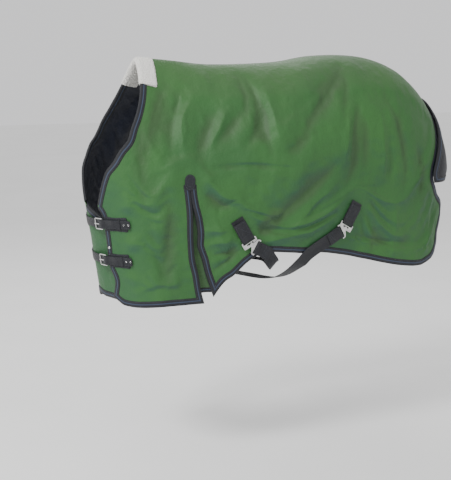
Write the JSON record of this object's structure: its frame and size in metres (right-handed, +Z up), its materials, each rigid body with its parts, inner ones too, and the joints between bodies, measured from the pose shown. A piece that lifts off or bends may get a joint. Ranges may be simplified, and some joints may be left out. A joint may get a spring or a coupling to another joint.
{
  "type": "turnout rug",
  "caption": "Waterproof outdoor rug for a horse, open at the neck, belly and tail, with chest buckles, cross surcingles, shoulder gussets, wither fleece and a tail flap.",
  "frame": {"origin": "on the spine seam at the withers, at the top of the outer fabric beside the collar; the rug rests there on the horse", "axes": "+X runs along the spine to the tail, +Y to the off (right) side of the horse, +Z up"},
  "size_m": [1.5422, 0.603, 0.9058],
  "materials": {
    "outer": "coated woven polyester, matt",
    "lining": "smooth woven polyester",
    "fill": "polyester wadding",
    "tape": "ribbed binding tape",
    "webbing": "woven webbing",
    "fleece": "white pile fleece",
    "metal": "bright nickel plate"
  },
  "bodies": {
    "rug": {"near_outer_panel": "outer", "near_fill_panel": "fill", "near_lining_panel": "lining", "near_front_binding": "tape", "near_rear_binding": "tape", "near_shoulder_gusset": "outer", "near_gusset_binding": "tape", "near_gusset_tab": "tape", "off_outer_panel": "outer", "off_fill_panel": "fill", "off_lining_panel": "lining", "off_front_binding": "tape", "off_rear_binding": "tape", "off_shoulder_gusset": "outer", "off_gusset_binding": "tape", "off_gusset_tab": "tape", "collar_binding": "tape", "wither_fleece": "fleece", "spine_seam_tape": "tape", "upper_buckle_patch": "tape", "upper_strap_patch": "tape", "upper_buckle_chape": "webbing", "upper_chest_strap": "webbing", "lower_buckle_patch": "tape", "lower_strap_patch": "tape", "lower_buckle_chape": "webbing", "lower_chest_strap": "webbing", "near_front_short_strap": "webbing", "front_surcingle": "webbing", "front_surcingle_patch": "tape", "near_rear_short_strap": "webbing", "rear_surcingle": "webbing", "rear_surcingle_patch": "tape"},
    "tail_flap": {"tail_flap": "lining", "tail_flap_binding": "tape"},
    "upper_buckle": {"upper_buckle_frame": "metal"},
    "upper_tongue": {"upper_buckle_tongue": "metal"},
    "upper_keeper": {"upper_strap_keeper": "webbing"},
    "lower_buckle": {"lower_buckle_frame": "metal"},
    "lower_tongue": {"lower_buckle_tongue": "metal"},
    "lower_keeper": {"lower_strap_keeper": "webbing"},
    "front_plate": {"near_front_slot_plate": "metal"},
    "front_hook": {"front_surcingle_hook": "metal"},
    "front_slider": {"front_surcingle_slider": "metal"},
    "rear_plate": {"near_rear_slot_plate": "metal"},
    "rear_hook": {"rear_surcingle_hook": "metal"},
    "rear_slider": {"rear_surcingle_slider": "metal"}
  },
  "joints": [
    {"name": "tail_flap_lift", "type": "hinge", "parent": "rug", "child": "tail_flap", "pos_m": [1.118, 0, -0.152], "axis": [0, -1, 0], "range_deg": [0, 65]},
    {"name": "upper_buckle_tilt", "type": "hinge", "parent": "rug", "child": "upper_buckle", "pos_m": [-0.29755, -0.08364, -0.5763], "axis": [-0.1449, -0.0452, 0.9884], "range_deg": [0, 8]},
    {"name": "upper_tongue_lift", "type": "hinge", "parent": "upper_buckle", "child": "upper_tongue", "pos_m": [-0.29755, -0.08364, -0.5763], "axis": [-0.1449, -0.0452, 0.9884], "range_deg": [0, 90]},
    {"name": "upper_keeper_slide", "type": "slide", "parent": "rug", "child": "upper_keeper", "axis": [0.6635, -0.7482, 0], "range_m": [-0.005, 0.001]},
    {"name": "lower_buckle_tilt", "type": "hinge", "parent": "rug", "child": "lower_buckle", "pos_m": [-0.27939, -0.07519, -0.71136], "axis": [-0.152, -0.0369, 0.9877], "range_deg": [0, 8]},
    {"name": "lower_tongue_lift", "type": "hinge", "parent": "lower_buckle", "child": "lower_tongue", "pos_m": [-0.27939, -0.07519, -0.71136], "axis": [-0.152, -0.0369, 0.9877], "range_deg": [0, 90]},
    {"name": "lower_keeper_slide", "type": "slide", "parent": "rug", "child": "lower_keeper", "axis": [0.5942, -0.8043, 0], "range_m": [-0.005, 0.001]},
    {"name": "front_plate_swing", "type": "hinge", "parent": "rug", "child": "front_plate", "pos_m": [0.19897, -0.27514, -0.64622], "axis": [-0.8554, 0.1363, -0.4998], "range_deg": [0, 2.4]},
    {"name": "front_hook_swing", "type": "hinge", "parent": "rug", "child": "front_hook", "pos_m": [0.23098, -0.28276, -0.67473], "axis": [0.4666, -0.0925, 0.8796], "range_deg": [0, 1.7]},
    {"name": "front_slider_slide", "type": "slide", "parent": "rug", "child": "front_slider", "axis": [0.7533, 0.0232, 0.6573], "range_m": [-0.012, 0.012]},
    {"name": "rear_plate_swing", "type": "hinge", "parent": "rug", "child": "rear_plate", "pos_m": [0.62427, -0.28794, -0.61079], "axis": [-0.8802, -0.0836, 0.4671], "range_deg": [0, 2.4]},
    {"name": "rear_hook_swing", "type": "hinge", "parent": "rug", "child": "rear_hook", "pos_m": [0.59264, -0.28979, -0.6407], "axis": [0.5063, 0.1119, -0.8551], "range_deg": [0, 1.7]},
    {"name": "rear_slider_slide", "type": "slide", "parent": "rug", "child": "rear_slider", "axis": [-0.5435, -0.0589, 0.8374], "range_m": [-0.012, 0.012]}
  ],
  "couplings": [
    {"joint": "front_hook_swing", "follows": "front_plate_swing", "ratio": 0.6667},
    {"joint": "rear_hook_swing", "follows": "rear_plate_swing", "ratio": 0.6667}
  ]
}
